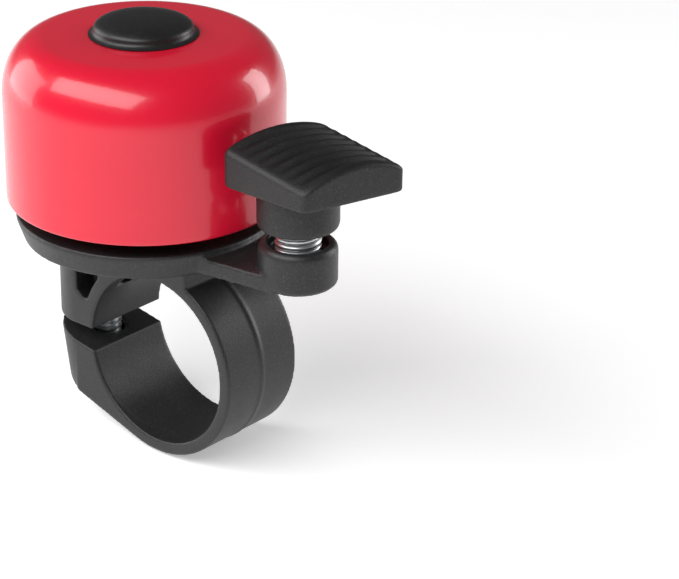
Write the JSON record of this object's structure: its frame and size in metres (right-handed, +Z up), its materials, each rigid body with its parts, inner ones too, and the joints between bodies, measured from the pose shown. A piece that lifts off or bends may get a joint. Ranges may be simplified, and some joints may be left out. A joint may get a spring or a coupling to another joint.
{
  "type": "bicycle bell",
  "caption": "Bicycle bell with a painted dome on a turning plate, a handlebar clamp, and a ribbed thumb lever on a coil spring that swings a striker against the dome.",
  "frame": {"origin": "centre of the handlebar bore, midway along its width", "axes": "+Z up along the bell's axis, +Y along the handlebar, +X from the bell's axis towards the thumb lever; the clamp's jaws are at -X"},
  "size_m": [0.0534, 0.035, 0.0553],
  "materials": {
    "black_moulding": "satin moulded",
    "screw_steel": "zinc plated",
    "nylon": "natural nylon",
    "black_rubber": "matte",
    "red_paint": "gloss",
    "cap_black": "satin",
    "spring_steel": "polished"
  },
  "bodies": {
    "clamp": {"clamp_band": "black_moulding", "clamp_nut": "screw_steel", "centre_nut": "screw_steel", "centre_screw": "screw_steel"},
    "bell": {"base_plate": "black_moulding", "spacer_sleeve": "screw_steel", "friction_washer": "nylon", "lower_isolator": "black_rubber", "dome": "red_paint", "upper_isolator": "black_rubber", "cap_seat": "nylon", "head_washer": "screw_steel", "top_cap": "cap_black", "lower_spring_core": "screw_steel"},
    "coil": {"striker_spring": "spring_steel"},
    "striker": {"thumb_lever": "black_moulding", "hammer": "screw_steel", "upper_spring_core": "screw_steel"},
    "washer": {"clamp_washer": "screw_steel"},
    "screw": {"clamp_screw": "screw_steel"}
  },
  "joints": [
    {"name": "bell_swivel", "type": "hinge", "parent": "clamp", "child": "bell", "pos_m": [-0.0068, 0, 0.0141], "axis": [0, 0, 1], "range_deg": [-90, 90]},
    {"name": "striker_sway", "type": "hinge", "parent": "bell", "child": "coil", "pos_m": [0.01845, 0, 0.02088], "axis": [1, 0, 0], "range_deg": [-8, 8], "stiffness_Nm_per_rad": 0.06, "deforming": ["striker_spring"]},
    {"name": "striker_tilt", "type": "hinge", "parent": "coil", "child": "striker", "pos_m": [0.01845, 0, 0.02088], "axis": [0, 1, 0], "range_deg": [-8.8, 20], "stiffness_Nm_per_rad": 0.06, "deforming": ["striker_spring"]},
    {"name": "clamp_screw_advance", "type": "slide", "parent": "clamp", "child": "washer", "axis": [0, 0, 1], "range_m": [-0.0028, 0]},
    {"name": "clamp_screw_turn", "type": "hinge", "parent": "washer", "child": "screw", "pos_m": [-0.0148, 0, -0.0055], "axis": [0, 0, 1], "range_deg": [-1440, 0]}
  ],
  "couplings": [
    {"joint": "clamp_screw_turn", "follows": "clamp_screw_advance", "rad_per_m": 8975.9}
  ]
}
